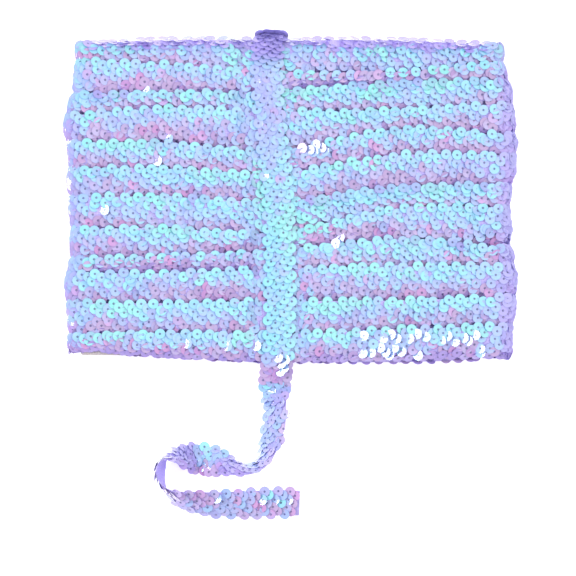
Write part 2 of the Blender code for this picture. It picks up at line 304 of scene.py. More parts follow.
# Where sequins are turned to the light and flash white: a place, its size, and the share that flash
Flash = namedtuple("Flash", "x y wide high share")
FLASHES = (
    Flash(-82.5, 58.5, 6.0, 5.0, 0.7),
    Flash(-69.0, 33.4, 5.0, 5.0, 0.9),
    Flash(-76.0, 21.0, 4.0, 4.0, 0.6),
    Flash(11.5, 26.5, 15.0, 4.0, 0.7),
    Flash(-103.0, -9.0, 4.0, 4.0, 0.7),
    Flash(26.0, -25.0, 6.0, 8.0, 0.5),
    Flash(55.0, -36.7, 26.0, 2.0, 0.4),
    Flash(-57.0, -81.0, 4.0, 4.0, 0.7),
    Flash(-34.5, -83.0, 4.0, 4.0, 0.7),
    Flash(-21.0, -81.0, 5.0, 5.0, 0.6),
    Flash(70.0, -79.0, 68.0, 4.5, 0.70),
    Flash(48.0, -86.0, 28.0, 4.5, 0.60),
    Flash(77.0, -86.5, 14.0, 4.5, 0.50),
    Flash(108.0, -86.2, 12.0, 4.5, 0.70),
    Flash(-4.5, -93.0, 7.0, 12.0, 0.6),
    Flash(-52.0, -149.6, 5.0, 5.0, 0.8),
    Flash(-43.4, -170.0, 4.5, 4.5, 0.9),
    Flash(-28.4, -170.7, 4.5, 4.5, 0.9),
    Flash(-15.0, -169.5, 7.0, 6.0, 0.6),
    Flash(-12.8, -177.0, 4.5, 4.5, 0.9),
    Flash(4.4, -173.0, 4.0, 4.0, 0.9),
)
# The small lamp that those sequins throw straight up, in metres
LAMP_PLACE = (-1.15, 0.25, 0.95)

# The camera looks straight down. The middle of its picture is this far from the block's middle
CAMERA_X = -2.2
CAMERA_Y = -51.15
CAMERA_HEIGHT = 1300.0
FRAME_WIDTH = 320.3
SENSOR_WIDTH = 36.0


# Helpers in plain numbers


def mix(a, b, share):
    return a + (b - a) * share


def clamp(value, low, high):
    return min(max(value, low), high)


def through(stations, values, at):
    """The height at one place of a smooth curve through values set at rising stations."""
    at = clamp(at, stations[0], stations[-1])
    index = next(i for i in range(len(stations) - 1) if at <= stations[i + 1])
    before, after = max(index - 1, 0), min(index + 2, len(stations) - 1)
    span = stations[index + 1] - stations[index]
    start_slope = (values[index + 1] - values[before]) / (stations[index + 1] - stations[before])
    end_slope = (values[after] - values[index]) / (stations[after] - stations[index])
    t = (at - stations[index]) / span
    rise = t * t * (3 - 2 * t)
    bend_start = t * (1 - t) ** 2 * span * start_slope
    bend_end = t * t * (t - 1) * span * end_slope
    return mix(values[index], values[index + 1], rise) + bend_start + bend_end


def shift_to_frame():
    """Where the block's middle is in the frame, in millimetres, from where the card is."""
    low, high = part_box("card")
    middle = (low + high) / 2 / MM
    return Vector((middle.x - CARD_MIDDLE_X, middle.y - CARD_MIDDLE_Y, middle.z - CARD_LEVEL))


SHIFT = shift_to_frame()


# The form of the wound block. A turn number of 3.5 is the middle of the fourth turn


def between_turns(turn, value):
    index = clamp(int(turn), 0, LAST - 1)
    return mix(value(TURNS[index]), value(TURNS[index + 1]), turn - index)


def front_y(turn, x):
    return between_turns(turn, lambda row: through(STATION_X, row[:5], x))


def back_y(turn, across_card):
    """across_card is 0 at the right side of the card and 1 at its left."""
    right = between_turns(turn, lambda row: row.right)
    left = between_turns(turn, lambda row: row.left)
    sag = LAST_TURN_SAG * max(0.0, turn - (LAST - 1)) * math.sin(math.pi * across_card) ** 0.5
    return mix(right, left, across_card) - sag


def reach_of(turn, side):
    middles = [i + 0.5 for i in range(LAST)]
    return through(middles, [getattr(row, side + "_reach") for row in TURNS[:LAST]], turn)


def end_share(from_head, from_foot):
    """How much of its full thickness the block keeps near the head and the foot."""
    head = 1 - clamp(from_head / HEAD_ROUNDING, 0.0, 1.0)
    foot = 1 - clamp(from_foot / FOOT_ROUNDING, 0.0, 1.0)
    head_share = mix(HEAD_THINNING, 1.0, math.sqrt(1 - head * head))
    foot_share = mix(FOOT_THINNING, 1.0, math.sqrt(1 - foot * foot))
    return min(head_share, foot_share)


STRAP_Y = [point.y for point in reversed(STRAP_FRONT)]
STRAP_X = [point.x for point in reversed(STRAP_FRONT)]


def strap_x(y):
    """The strap's middle on the front."""
    return through(STRAP_Y, STRAP_X, y)


def slope_share(distance, slope):
    """0 under the strap, rising to 1 where the turns are back at their own height."""
    t = clamp((abs(distance) - BED_HALF_WIDTH) / slope, 0.0, 1.0)
    return t * t * (3 - 2 * t)


def fall(share, upper, lower):
    """How far a turn's surface lies below its crest, at a share of the way from upper to lower border."""
    if share < CREST_SHARE:
        return upper * ((CREST_SHARE - share) / CREST_SHARE) ** 2
    return lower * min(((share - CREST_SHARE) / (1 - CREST_SHARE)) ** 2, 1.5)


def front_point(turn, share, x):
    share = min(share, LAST - 0.02 - turn)
    y = front_y(turn + share, x)
    pressed = between_turns(turn + share, lambda row: row.pressed)
    height = FRONT_HEIGHT - pressed - fall(share, UPPER_FALL, LOWER_FALL)
    bed = STRAP_BED_FRONT - CARD_LEVEL
    height = min(height, mix(bed, max(height, bed), slope_share(x - strap_x(y), FRONT_SLOPE)))
    return Vector((x, y, CARD_LEVEL + height * end_share(front_y(0, x) - y, y - front_y(LAST, x))))


def across_the_back(x):
    """0 at the right side of the card and 1 at its left."""
    return (ROUND_START_RIGHT - x) / FRONT_RUN


def turn_on_back(turn, share, across_card):
    """Behind the card each turn slopes down from the left side, to become the next turn at the right.

    The trim's start keeps along the head instead, and its last turn along the foot.
    """
    if turn < 0:
        return share
    if turn == LAST - 1:
        return turn + share
    return turn + share + 1 - across_card


def under_share(turn, across_card):
    """How far a turn lies under another on the back: the start at the left, the last turn at the right."""
    if turn < 0:
        return across_card
    if turn == LAST - 1:
        middle = across_the_back(BACK_STRAP_X)
        return clamp((middle - across_card) / middle, 0.0, 1.0)
    return 0.0


def back_point(turn, share, x):
    across_card = across_the_back(x)
    here = clamp(turn_on_back(turn, share, across_card), 0.0, LAST - 0.01)
    y = back_y(here, across_card)
    height = BACK_HEIGHT - BACK_ROOM - fall(share, BACK_UPPER_FALL, BACK_LOWER_FALL)
    height -= UNDER_LAYER * under_share(turn, across_card)
    bed = CARD_LEVEL - STRAP_BED_BACK
    height = min(height, mix(bed, max(height, bed), slope_share(x - BACK_STRAP_X, BACK_SLOPE)))
    share_left = end_share(back_y(0, across_card) - y, y - back_y(LAST, across_card))
    return Vector((x, y, CARD_LEVEL - height * share_left))


def side_point(turn, share, side, step):
    """step runs from 0 at the front to 1 at the back."""
    start, sign = (ROUND_START_RIGHT, 1) if side == "right" else (ROUND_START_LEFT, -1)
    top = front_point(turn, share, start)
    bottom = back_point(turn - 1 if side == "right" else turn, share, start)
    angle = math.pi * step
    furrow = min((2 * share - 1) ** 2, 1.2)
    reach = reach_of(clamp(turn + share, 0.5, LAST - 0.5), side) - EDGE_FURROW * furrow
    power = 2 / ROUND_SQUARENESS
    out = abs(math.sin(angle)) ** power * (reach - abs(start))
    up = abs(math.cos(angle)) ** power
    far = top.z if step < 0.5 else bottom.z
    return Vector((start + sign * out, mix(top.y, bottom.y, step), mix(CARD_LEVEL, far, up)))


def row_width(turn, along):
    """How wide a turn's own stripe is, this far along its run."""
    after = min(turn + 1, LAST - 1)
    turn = max(turn, 0)
    if along < LEFT_START:
        x = ROUND_START_RIGHT - along
        return front_y(turn, x) - front_y(turn + 1, x)
    left = TURNS[turn].left - TURNS[turn + 1].left
    right = TURNS[after].right - TURNS[after + 1].right
    return mix(left, right, clamp((along - BACK_START) / FRONT_RUN, 0.0, 1.0))


def share_of_row(turn, along, across):
    """Where a place across the tape falls between its stripe's upper border, 0, and its lower, 1."""
    width = row_width(turn, along)
    least, room = LEAST_SPREAD, LAST_LINE_ROOM
    if turn == LAST - 1:
        least, room = LEAST_SPREAD_AT_FOOT, ROOM_AT_FOOT
    spread = clamp((width - FIRST_LINE - room) / LINE_SPREAD, least, MOST_SPREAD)
    return (FIRST_LINE + (across - LINES[0].across) * spread) / width


def wound_point(turn, along, across):
    """A place on one turn of the winding: how far along its run, and how far across the tape."""
    share = share_of_row(turn, along, across)
    if along < LEFT_START:
        return front_point(turn, share, ROUND_START_RIGHT - along)
    if along < BACK_START:
        return side_point(turn, share, "left", (along - LEFT_START) / SIDE_RUN)
    if along < RIGHT_START:
        return back_point(turn, share, ROUND_START_LEFT + along - BACK_START)
    return side_point(turn + 1, share, "right", 1 - (along - RIGHT_START) / SIDE_RUN)


def run_of(turn):
    """Where a turn's run begins and ends. The trim starts and stops on the back."""
    first = BACK_START if turn < 0 else 0.0
    last = RIGHT_START if turn == LAST - 1 else TURN_RUN
    return first, last


# The form of the strap and the loose end


def rest_height(lean):
    """How high the trim's middle lies when it leans this far and its lower edge is on the table."""
    lean = math.radians(lean)
    return TRIM_WIDTH / 2 * abs(math.sin(lean)) + TRIM_THICKNESS / 2 * abs(math.cos(lean))


class LooseLine:
    """The middle line of the strap and the loose end, read by distance along it."""

    def __init__(self):
        strap = STRAP_BACK + STRAP_OVER_HEAD + STRAP_FRONT + STRAP_OFF_FOOT
        points = [(Vector((p.x, p.y, p.height)), 0.0) for p in strap]
        for p in LOOSE_END:
            points.append((Vector((p.x, p.y, rest_height(p.lean))), p.lean))
        self.distances = [0.0]
        for (a, _), (b, _) in zip(points, points[1:]):
            self.distances.append(self.distances[-1] + (b - a).length)
        self.tracks = [[point[axis] for point, _ in points] for axis in range(3)]
        self.leans = [lean for _, lean in points]
        self.length = self.distances[-1]

    def middle(self, along):
        return Vector([through(self.distances, track, along) for track in self.tracks])

    def frame(self, along):
        """The middle, the heading, the sideways direction and the direction the sequins face."""
        middle = self.middle(along)
        heading = (self.middle(along + 0.4) - self.middle(along - 0.4)).normalized()
        lean = math.radians(through(self.distances, self.leans, along))
        if middle.y < STRAP_OFF_FOOT[0].y:
            right = Vector((heading.y, -heading.x, 0)).normalized()
            sideways = right * math.cos(lean) - Vector((0, 0, 1)) * math.sin(lean)
        else:
            sideways = Vector((-1, 0, 0))
        sideways = (sideways - heading * sideways.dot(heading)).normalized()
        return middle, heading, sideways, sideways.cross(heading)


# Joined meshes from one modelled shape


def mesh_of(name, points, faces):
    mesh = bpy.data.meshes.new(name)
    mesh.from_pydata(points.tolist(), [], faces.tolist())
    mesh.update()
    obj = bpy.data.objects.new(name, mesh)
    bpy.context.scene.collection.objects.link(obj)
    return obj


def shape_of(obj):
    """The points and four-sided faces of a modelled shape, which is then removed."""
    points = np.array([vert.co for vert in obj.data.vertices])
    faces = np.array([face.vertices[:] for face in obj.data.polygons])
    bpy.data.objects.remove(obj, do_unlink=True)
    return points, faces


def joined(name, shape, seats):
    """One mesh of the shape copied to every seat, with each copy's tone and each point's ring."""
    points, faces = shape
    turned = np.einsum("sij,pj->spi", np.array([seat.axes for seat in seats]), points)
    placed = turned + np.array([seat.place for seat in seats])[:, None, :]
    offsets = np.arange(len(seats))[:, None, None] * len(points)
    obj = mesh_of(name, placed.reshape(-1, 3), (faces[None] + offsets).reshape(-1, faces.shape[1]))
    for key in ("tone", "lean", "steep"):
        values = obj.data.attributes.new(key, "FLOAT", "POINT")
        values.data.foreach_set("value", np.repeat([getattr(seat, key) for seat in seats], len(points)))
    radius = np.hypot(points[:, 0], points[:, 1])
    ring = obj.data.attributes.new("ring", "FLOAT", "POINT")
    ring.data.foreach_set("value", np.tile(radius / radius.max(), len(seats)))
    return obj


Seat = namedtuple("Seat", "place axes tone lean steep")


def smooth(value, low, high):
    t = clamp((value - low) / (high - low), 0.0, 1.0)
    return t * t * (3 - 2 * t)


def flashes(point, chance):
    """Whether a sequin at this place is one of those that are turned to the light."""
    for flash in FLASHES:
        inside = abs(point.x - flash.x) < flash.wide / 2 and abs(point.y - flash.y) < flash.high / 2
        if inside and chance.random() < flash.share:
            return True
    return False


def to_light(chance):
    """The direction that throws the small lamp's light straight up, give or take a little."""
    up = (Vector(LAMP_PLACE).normalized() + Vector((0, 0, 1))).normalized()
    return (up + Vector((chance.gauss(0, 0.03), chance.gauss(0, 0.03), 0))).normalized()


def seated(place, ahead, up, tone, blush=0.0, lilac=0.0):
    """A seat from its leading direction and the way it faces, with no edge below the table.

    Blush turns its colour towards mauve, and lilac takes the sheen off it. Its lean and steepness pick the
    painted reflection colour that stands for the film's sheen at its tilt.
    """
    ahead = (ahead - up * ahead.dot(up)).normalized()
    place = place.copy()
    dip = SEQUIN_REACH * math.sqrt(max(0.0, 1 - up.z * up.z)) + SEQUIN_HEEL
    place.z = max(place.z, dip)
    # lean and steep pick the painted iridescent reflection colour from the way the sequin faces
    lean = LEAN_BY_HEAD * up.y + LEAN_BY_RIGHT * up.x + LEAN_BY_TONE * tone - blush
    steep = max(lilac, smooth(-abs(up.z), -0.97, -0.72) * (1.0 if up.x > 0 else 0.65))
    axes = np.array([ahead, up.cross(ahead), up]).T
    return Seat(tuple((place + SHIFT) * MM), axes, tone, lean, steep)


def seat_at(point, heading, facing, lift, raise_tip, raise_side, tone, blush=0.0, lilac=0.0):
    """Seats a sequin: its leading edge and its lower side are raised by these angles, in degrees."""
    facing = (facing - heading * facing.dot(heading)).normalized()
    side = facing.cross(heading)
    tip, roll = math.radians(raise_tip), math.radians(raise_side)
    ahead = heading * math.cos(tip) + facing * math.sin(tip)
    up = facing * math.cos(tip) - heading * math.sin(tip)
    up = up * math.cos(roll) - side * math.sin(roll)
    return seated(point + facing * lift, ahead, up, tone, blush, lilac)


def select_only(obj):
    bpy.ops.object.select_all(action="DESELECT")
    obj.select_set(True)
    bpy.context.view_layer.objects.active = obj


def keep_selected(obj, wanted):
    """In edit mode, leaves selected only those selected points that answer."""
    mesh = bmesh.from_edit_mesh(obj.data)
    chosen = [vert for vert in mesh.verts if vert.select and wanted(vert.co)]
    for vert in mesh.verts:
        vert.select_set(False)
    for vert in chosen:
        vert.select_set(True)
    mesh.select_flush_mode()
    bmesh.update_edit_mesh(obj.data)


def model_sequin(look):
    """One cup sequin with its hole, lying on its back, closed and facing out all round."""
    bpy.ops.object.select_all(action="DESELECT")
    radius = look.sequin_diameter / 2
    bpy.ops.mesh.primitive_circle_add(vertices=12, radius=radius, fill_type="NGON")
    sequin = bpy.context.object
    bpy.ops.object.mode_set(mode="EDIT")
    bpy.ops.mesh.select_all(action="SELECT")
    bpy.ops.mesh.inset(thickness=look.rim_width)
    bpy.ops.transform.translate(value=(0, 0, -look.cup_depth))
    bpy.ops.mesh.inset(thickness=radius - look.rim_width - look.hole_diameter / 2)
    bpy.ops.mesh.delete(type="FACE")
    bpy.ops.mesh.select_all(action="SELECT")
    bpy.ops.mesh.duplicate()
    bpy.ops.mesh.flip_normals()
    fold = radius - look.rim_width
    keep_selected(sequin, lambda co: abs(math.hypot(co.x, co.y) - fold) < 0.2 * look.rim_width)
    bpy.ops.transform.translate(value=(0, 0, -look.sequin_thickness))
    bpy.ops.mesh.select_all(action="SELECT")
    bpy.ops.mesh.remove_doubles(threshold=look.sequin_thickness / 10)
    bpy.ops.object.mode_set(mode="OBJECT")
    return shape_of(sequin)


def model_stitch(look):
    """One stitch, up through a sequin's hole and back over its tucked edge."""
    bpy.ops.object.select_all(action="DESELECT")
    depth, radius = look.cup_depth, look.sequin_diameter / 2
    start = (0, 0, -2 * depth)
    bpy.ops.mesh.primitive_circle_add(vertices=3, radius=look.thread_width / 2, location=start)
    stitch = bpy.context.object
    bpy.ops.object.transform_apply(location=True, rotation=False, scale=False)
    bpy.ops.object.mode_set(mode="EDIT")
    bpy.ops.mesh.select_all(action="SELECT")
    steps = ((-0.1 * radius, 1.5 * depth), (-0.85 * radius, 1.4 * depth), (-0.15 * radius, -depth))
    for back, up in steps:
        bpy.ops.mesh.extrude_region_move(TRANSFORM_OT_translate={"value": (back, 0, up)})
    bpy.ops.mesh.select_all(action="SELECT")
    bpy.ops.mesh.normals_make_consistent(inside=False)
    bpy.ops.object.mode_set(mode="OBJECT")
    return shape_of(stitch)


# Where every sequin sits


def tip_of(turn, x):
    """How far the sequins of a turn tip towards the head at this place, in degrees."""
    return through(TIP_X, TIPS[clamp(turn, 0, LAST - 1)], clamp(x, TIP_X[0], TIP_X[-1]))


def wound_frame(turn, along, across):
    """The place, heading and facing direction of the winding's surface."""
    point = wound_point(turn, along, across)
    heading = wound_point(turn, along + 0.5, across) - wound_point(turn, along - 0.5, across)
    sideways = wound_point(turn, along, across + 0.5) - wound_point(turn, along, across - 0.5)
    heading.normalize()
    return point, heading, heading.cross(sideways).normalized()


def is_crowded(along):
    """Whether this place on a turn's run is where it bends round a side of the card."""
    return LEFT_START + CROWDED_AFTER < along < BACK_START or RIGHT_START < along < TURN_RUN - CROWDED_AFTER


def turn_seats(look, turn, chance):
    """The seats of one turn's sequins, down each of its lines, with more of them round the sides."""
    seats = []
    pitch = look.sequin_pitch / MM
    count = round(TURN_RUN / pitch)
    drift = chance.uniform(0, pitch)
    first, last = run_of(turn)
    for line in LINES + INNER_LINES:
        wave = 2 * math.pi / chance.uniform(*WAVE_LENGTHS)
        phase = chance.uniform(0, 2 * math.pi)
        for number in range(2 * count):
            along = (number / 2 * TURN_RUN / count + line.setback + drift) % TURN_RUN
            along = clamp(along + chance.gauss(0, 0.65), 0.6, TURN_RUN - 0.6)
            across = line.across + chance.gauss(0, 0.4)
            tilt = WAVE_TILT * math.sin(wave * along + phase)
            wanted = number % 2 == 0 or is_crowded(along)
            if wanted and first <= along <= last:
                seats.append(wound_seat(look, turn, along, across, tilt, chance))
    return [seat for seat in seats if seat]


def border_seats(chance):
    """The seats of the sequins that stand along the head and the foot, over the card's edges."""
    seats = []
    count = round(FRONT_RUN / BORDER_PITCH)
    for turn, out in ((0, 1), (LAST, -1)):
        for face_up in (1, -1):
            for number in range(count + 1):
                x = ROUND_START_LEFT + FRONT_RUN * number / count + chance.gauss(0, 0.5)
                if turn == LAST and face_up > 0 and x < CORNER_SHOWS:
                    continue
                across_card = clamp(across_the_back(x), 0.0, 1.0)
                border = front_y(turn, x) if face_up > 0 else back_y(turn, across_card)
                height = CARD_LEVEL + face_up * (BORDER_HEIGHT + chance.gauss(0, 0.2))
                inset = BORDER_INSET_FRONT if face_up > 0 else BORDER_INSET_BACK
                place = Vector((x, border - out * inset, height))
                up = Vector((chance.gauss(0, 0.1), out * 0.85, face_up * (0.5 + chance.gauss(0, 0.12))))
                seats.append(seated(place, Vector((-face_up, 0, 0)), up.normalized(), chance.gauss(0, 1)))
    return seats


def is_covered(turn, along, share, point):
    """Whether the next turn or the strap hides this place."""
    if along < BACK_START:
        under_strap = abs(point.x - strap_x(point.y)) < HIDDEN_BY_STRAP and along < LEFT_START
        return share > HIDDEN_SHARE or under_strap
    if along < RIGHT_START:
        across_card = across_the_back(point.x)
        here = turn_on_back(turn, share, across_card)
        under_first = turn < 0 and here > 1 - across_card
        on_left = point.x < BACK_STRAP_X
        under_last = turn == LAST - 2 and on_left and here > LAST - 1 + 0.05
        last_under = turn == LAST - 1 and not on_left and here < LAST - across_card
        under_strap = abs(point.x - BACK_STRAP_X) < HIDDEN_BY_STRAP and point.y > STRAP_BACK[0].y
        return share > 1.02 or under_first or under_last or last_under or under_strap
    return share > HIDDEN_SHARE


def side_fan(along):
    """How much more the leading edges are raised round the sides, so that their faces show from above."""
    fan = 0.0
    for start, end, angle in ((LEFT_START, BACK_START, LEFT_FAN), (RIGHT_START, TURN_RUN, RIGHT_FAN)):
        fan += angle * (smooth(along, start, start + FAN_EASE) * smooth(-along, -end, FAN_EASE - end))
    return fan


def lilac_at(turn, point):
    """How lilac the painted reflection is at a place on the front: it is so at both sides and along the
    head, where the film is seen tipped.
    """
    right, left = smooth(point.x, *RIGHT_LILAC), 0.7 * smooth(-point.x, *LEFT_LILAC)
    head = smooth(point.y, *HEAD_LILAC) if turn <= 0 else 0.0
    return max(right, left, head)


def wound_seat(look, turn, along, across, tilt, chance):
    on_front = along < LEFT_START
    share = share_of_row(turn, along, across)
    point, heading, facing = wound_frame(turn, along, across)
    if is_covered(turn, along, share, point):
        return None
    tip = tip_of(turn, point.x) if on_front else 0.0
    raise_tip = look.scale_raise + side_fan(along) + chance.gauss(0, look.unevenness)
    over_head = HEAD_TILT * smooth(point.y, *HEAD_LILAC) if turn == 0 and on_front else 0.0
    raise_side = look.side_raise + over_head + tip + tilt + chance.gauss(0, 0.7 * look.unevenness)
    lift = chance.gauss(0, 0.1) - INNER_DEPTH * smooth(across, LINES[-1].across + 1.0, INNER_LINES[1].across)
    if on_front and flashes(point, chance):
        return seated(point + facing * 0.4, heading, to_light(chance), chance.gauss(0, 1))
    tone = chance.gauss(0, 1)
    return seat_at(point, heading, facing, lift, raise_tip, raise_side, tone, lilac=lilac_at(turn, point))


def places_along(line_of_trim, pitch):
    """Distances along the trim, and how many pitches come before each. They crowd over the card's edges."""
    step = 0.5
    distances = np.arange(0.0, line_of_trim.length, step)
    counts = []
    for distance in distances:
        middle, heading, _, _ = line_of_trim.frame(distance)
        crowded = abs(heading.z) > STEEP_HEADING or middle.y > STRAP_CROWDS
        counts.append(step / (pitch * (CROWDING if crowded else 1.0)))
    return distances, np.cumsum(counts)


def loose_seats(look, line_of_trim, chance):
    """The seats of the sequins on the strap and the loose end."""
    seats = []
    tip_y, tips = [place.y for place in LOOSE_TIPS], [place.tip for place in LOOSE_TIPS]
    pitch = look.sequin_pitch / MM
    distances, counts = places_along(line_of_trim, pitch)
    for line in LINES:
        for number in range(int(counts[-1])):
            count = number + line.setback / pitch + 0.3
            along = min(float(np.interp(count, counts, distances)), line_of_trim.length - 2.0)
            middle, heading, sideways, face = line_of_trim.frame(along + chance.gauss(0, 0.3))
            across = line.across + chance.gauss(0, 0.2)
            # The sequins' first line is on the right of the run, where sideways points
            point = middle - sideways * across + face * (SEWN_ABOVE - across * across / CROWN)
            facing = (face - sideways * (2 * across / CROWN)).normalized()
            on_strap = point.y > STRAP_OFF_FOOT[-1].y
            uneven = look.unevenness * (0.6 if on_strap else 1.0)
            raise_tip = look.scale_raise + through(tip_y, tips, point.y) + chance.gauss(0, uneven)
            raise_side = chance.gauss(0, uneven)
            tone = chance.gauss(0, 1)
            # blush and lilac shift the painted reflection colour: by height and place across on the strap,
            # and by place across and tilt on the loose end
            if on_strap:
                blush, lilac = 0.08 - 0.02 * abs(across), through(*STRAP_LILAC, point.y)
            else:
                blush, lilac = LOOSE_BLUSH * across + face.y + 0.08, 0.0
            on_show = point.y < STRAP_FRONT[-1].y and abs(face.z) > 0.5
            if on_show and flashes(point, chance):
                seats.append(seated(point + face * 0.3, heading, to_light(chance), tone))
            else:
                seats.append(seat_at(point, heading, facing, 0.0, raise_tip, raise_side, tone, blush, lilac))
    return seats


# The knitted tape under the sequins


def grid_faces(rows, columns):
    index = np.arange(rows * columns).reshape(rows, columns)
    corners = (index[:-1, :-1], index[1:, :-1], index[1:, 1:], index[:-1, 1:])
    return np.stack(corners, -1).reshape(-1, 4)


def tape_mesh(name, rows, thickness):
    """A tape through rows of points, as thick as this, with its length and width in its own map."""
    count, width = len(rows), len(rows[0])
    points = np.array([[tuple((point + SHIFT) * MM) for point in row] for row in rows])
    obj = mesh_of(name, points.reshape(-1, 3), grid_faces(count, width))
    steps = np.linalg.norm(np.diff(points[:, width // 2], axis=0), axis=1)
    along = np.concatenate([[0], np.cumsum(steps)])
    layer = obj.data.uv_layers.new(name="tape")
    corner_points = np.zeros(len(obj.data.loops), int)
    obj.data.loops.foreach_get("vertex_index", corner_points)
    place = np.stack([along[corner_points // width], corner_points % width / (width - 1.0)], -1)
    layer.data.foreach_set("uv", place.ravel())
    select_only(obj)
    solid = obj.modifiers.new("thickness", "SOLIDIFY")
    solid.thickness = thickness
    solid.offset = 0
    bpy.ops.object.modifier_apply(modifier=solid.name)
    bpy.ops.object.shade_smooth_by_angle(angle=math.radians(50))
    return obj, along[-1]


def wound_tape_rows(look, turns, shifted, depth):
    """Rows of points of the tape round these turns, shifted across and this far below the sequins."""
    half = look.tape_width / MM / 2
    places = [shifted + mix(-half, half, i / 6) for i in range(7)]
    rows = []
    for turn in turns:
        first, last = run_of(turn)
        steps = round((last - first) / look.tape_step * MM)
        for step in range(steps):
            along = clamp(mix(first, last, step / steps), 0.6, TURN_RUN - 0.6)
            row = []
            for across in places:
                point, _, facing = wound_frame(turn, along, across)
                row.append(point - facing * depth)
            rows.append(row)
    return rows


def loose_tape_rows(look, line_of_trim):
    half = look.tape_width / MM / 2
    rows = []
    steps = 300
    for step in range(steps + 1):
        along = (line_of_trim.length - look.tape_width / MM / 4) * step / steps
        middle, _, sideways, face = line_of_trim.frame(along)
        row = []
        for place in range(7):
            across = mix(-half, half, place / 6)
            row.append(middle - sideways * across - face * (0.1 + across * across / CROWN))
        rows.append(row)
    return rows


# Materials


def linear(colour):
    """A colour as it looks on screen, turned into the numbers that light works in."""
    return tuple(c / 12.92 if c <= 0.04045 else ((c + 0.055) / 1.055) ** 2.4 for c in colour)


class Nodes:
    """A short way to write a material's nodes."""

    def __init__(self, name):
        self.material = bpy.data.materials.new(name)
        self.material.use_nodes = True
        self.tree = self.material.node_tree
        self.surface = self.tree.nodes["Principled BSDF"]

    def add(self, kind, **settings):
        node = self.tree.nodes.new(kind)
        for key, value in settings.items():
            setattr(node, key, value)
        return node

    def link(self, source, target):
        self.tree.links.new(source, target)

    def feed(self, socket, value):
        if hasattr(value, "is_output"):
            self.link(value, socket)
        else:
            socket.default_value = value

    def set(self, name, value):
        """Sets a number or a colour on the shader's own socket."""
        self.surface.inputs[name].default_value = value

    def base(self, colour):
        self.link(colour, self.surface.inputs["Base Color"])

    def place(self):
        return self.add("ShaderNodeTexCoord").outputs["Object"]

    def math(self, operation, first, second=0.0, third=0.0):
        node = self.add("ShaderNodeMath", operation=operation)
        for socket, value in zip(node.inputs, (first, second, third)):
            self.feed(socket, value)
        return node.outputs[0]

    def span(self, value, low, high, start=0.0, end=1.0):
        """The value carried from low and high to start and end, with soft ends."""
        node = self.add("ShaderNodeMapRange", interpolation_type="SMOOTHSTEP")
        for socket, number in zip(node.inputs, (value, low, high, start, end)):
            self.feed(socket, number)
        return node.outputs[0]

    def ramp(self, value, stops):
        node = self.add("ShaderNodeValToRGB")
        node.color_ramp.interpolation = "LINEAR"
        elements = node.color_ramp.elements
        while len(elements) < len(stops):
            elements.new(0.5)
        for element, (place, colour) in zip(elements, stops):
            element.position = place
            element.color = (*linear(colour), 1.0)
        self.link(value, node.inputs[0])
        return node.outputs[0]

    def blend(self, share, first, second, how="MIX"):
        node = self.add("ShaderNodeMix", data_type="RGBA", blend_type=how)
        self.feed(node.inputs["Factor"], share)
        for socket, value in ((node.inputs[6], first), (node.inputs[7], second)):
            self.feed(socket, (*linear(value), 1.0) if isinstance(value, tuple) else value)
        return node.outputs[2]

    def noise(self, vector, scale, detail=2.0):
        node = self.add("ShaderNodeTexNoise")
        node.inputs["Scale"].default_value = scale
        node.inputs["Detail"].default_value = detail
        self.link(vector, node.inputs["Vector"])
        return node.outputs["Fac"]

    def bump(self, height, strength, distance):
        node = self.add("ShaderNodeBump")
        node.inputs["Strength"].default_value = strength
        node.inputs["Distance"].default_value = distance
        self.link(height, node.inputs["Height"])
        self.link(node.outputs[0], self.surface.inputs["Normal"])


# The colour that a sequin turns as it tips, from towards the foot, 0, to towards the head, 1. It is painted
# reflection: the iridescent film's reflected colour at each tilt, painted into the base colour
SHEEN_STOPS = (
    (0.12, (0.71, 0.62, 0.89)),
    (0.26, (0.77, 0.65, 0.85)),
    (0.35, (0.79, 0.69, 0.86)),
    (0.42, (0.75, 0.71, 0.90)),
    (0.47, (0.66, 0.73, 0.94)),
    (0.52, (0.65, 0.77, 0.97)),
    (0.57, (0.62, 0.82, 0.97)),
    (0.62, (0.59, 0.87, 0.97)),
    (0.68, (0.58, 0.89, 0.94)),
    (0.78, (0.63, 0.81, 0.96)),
    (0.92, (0.70, 0.66, 0.95)),
)


